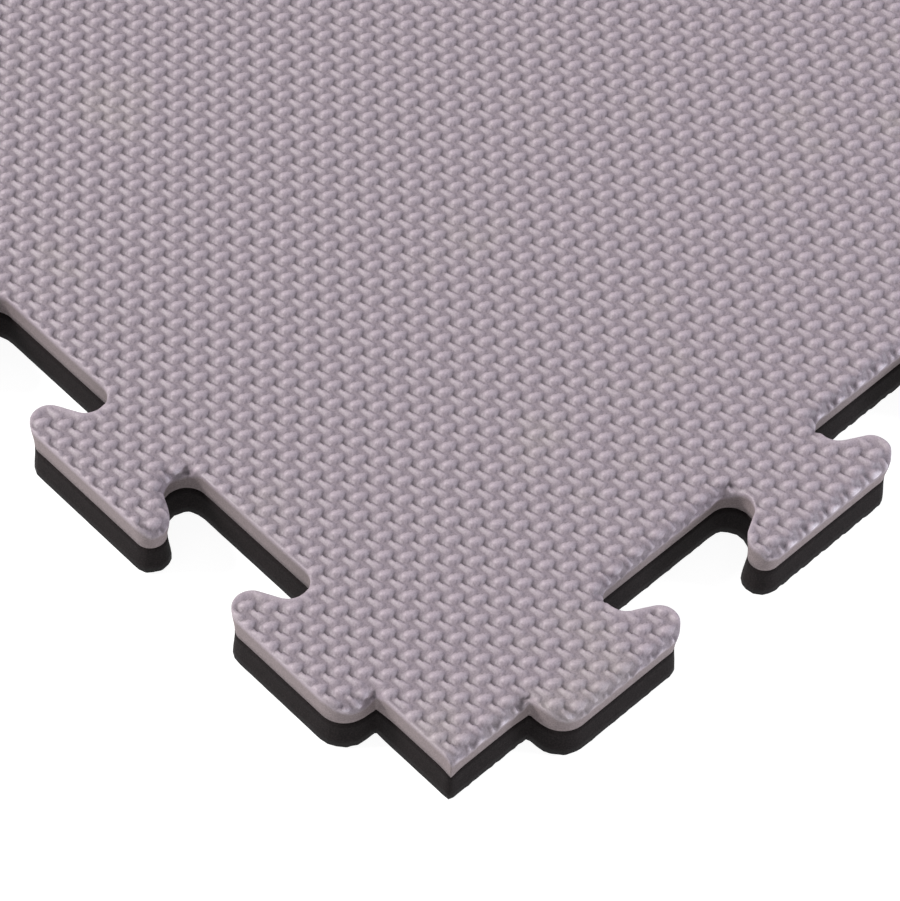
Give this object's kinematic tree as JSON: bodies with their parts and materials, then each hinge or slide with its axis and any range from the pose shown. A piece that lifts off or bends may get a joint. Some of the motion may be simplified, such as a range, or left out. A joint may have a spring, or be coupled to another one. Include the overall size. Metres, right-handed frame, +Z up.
{
  "type": "interlocking blocking mats",
  "caption": "Square two-colour foam mats with dovetail tabs on every edge, locked together into one flat board for pinning out damp knitting.",
  "frame": {"origin": "on the underside, where the four mats meet, at the middle of the set", "axes": "+Z up out of the grey embossed face; +X and +Y along the mats' joint lines, away from the free square corner at -X -Y"},
  "size_m": [0.6306, 0.6306, 0.0195],
  "materials": {
    "grey_foam": "closed-cell EVA foam, embossed with a small woven pattern on top, smooth and matt on its cut edge",
    "black_foam": "closed-cell EVA foam, embossed underneath, matt"
  },
  "bodies": {
    "near_mat": {"near_mat_grey_layer": "grey_foam", "near_mat_black_layer": "black_foam"},
    "right_mat": {"right_mat_grey_layer": "grey_foam", "right_mat_black_layer": "black_foam"},
    "left_mat": {"left_mat_grey_layer": "grey_foam", "left_mat_black_layer": "black_foam"},
    "far_mat": {"far_mat_grey_layer": "grey_foam", "far_mat_black_layer": "black_foam"}
  },
  "joints": [
    {"name": "right_mat_lift", "type": "slide", "parent": "near_mat", "child": "right_mat", "axis": [0, 0, 1], "range_m": [0, 0.05]},
    {"name": "left_mat_lift", "type": "slide", "parent": "near_mat", "child": "left_mat", "axis": [0, 0, 1], "range_m": [0, 0.05]},
    {"name": "far_mat_lift", "type": "slide", "parent": "near_mat", "child": "far_mat", "axis": [0, 0, 1], "range_m": [0, 0.05]}
  ]
}
